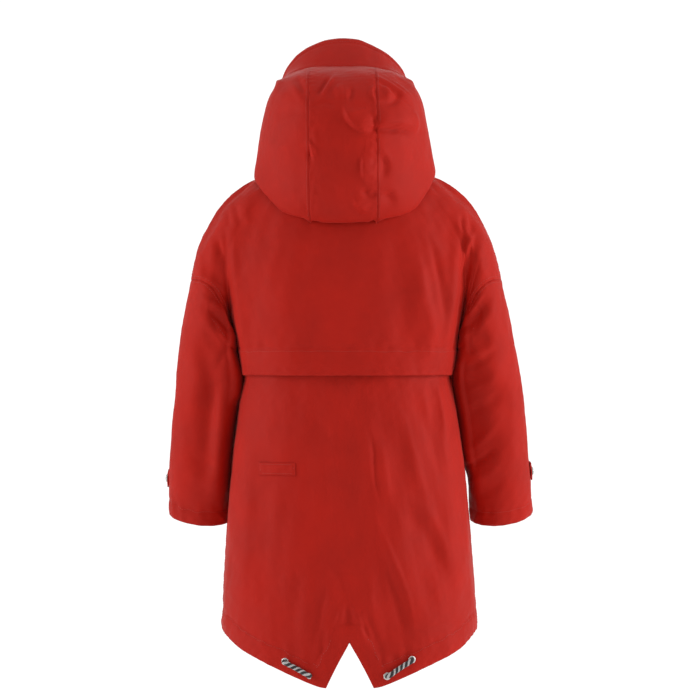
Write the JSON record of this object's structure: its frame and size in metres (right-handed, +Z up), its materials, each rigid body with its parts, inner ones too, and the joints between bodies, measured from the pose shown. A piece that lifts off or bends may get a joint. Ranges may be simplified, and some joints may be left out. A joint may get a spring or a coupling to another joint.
{
  "type": "hooded raincoat",
  "caption": "Child's hooded raincoat with a storm flap, a fishtail hem with drawcord and a zipped front, hollow as worn.",
  "frame": {"origin": "middle of the neck seam, where the wearer's shoulders carry the coat", "axes": "+Z up along the coat, the back faces +Y and the front -Y, the wearer's left is +X"},
  "size_m": [0.5603, 0.2882, 0.9663],
  "materials": {
    "shell_cloth": "matt woven red shell",
    "zip_tape": "matt dark red woven tape",
    "drawcord": "twisted cord, black with white",
    "metal_trim": "satin"
  },
  "bodies": {
    "coat": {"back_panel": "shell_cloth", "back_tab": "shell_cloth", "back_yoke": "shell_cloth", "cuff_snap_left": "metal_trim", "cuff_snap_right": "metal_trim", "cuff_tab_left": "shell_cloth", "cuff_tab_right": "shell_cloth", "eyelet_left_1": "metal_trim", "eyelet_left_2": "metal_trim", "eyelet_right_1": "metal_trim", "eyelet_right_2": "metal_trim", "front_left": "shell_cloth", "front_right": "shell_cloth", "hem_cord_left": "drawcord", "hem_cord_right": "drawcord", "hood_brim": "shell_cloth", "hood_center": "shell_cloth", "hood_side_left": "shell_cloth", "hood_side_right": "shell_cloth", "sleeve_left": "shell_cloth", "sleeve_right": "shell_cloth", "zip_slider": "metal_trim", "zip_tape": "zip_tape"},
    "pull": {"zip_pull": "metal_trim"}
  },
  "joints": [
    {"name": "pull_swing", "type": "hinge", "parent": "coat", "child": "pull", "pos_m": [0.00025, -0.09552, 0.02654], "axis": [-1, 0, 0], "range_deg": [-10, 150]}
  ]
}
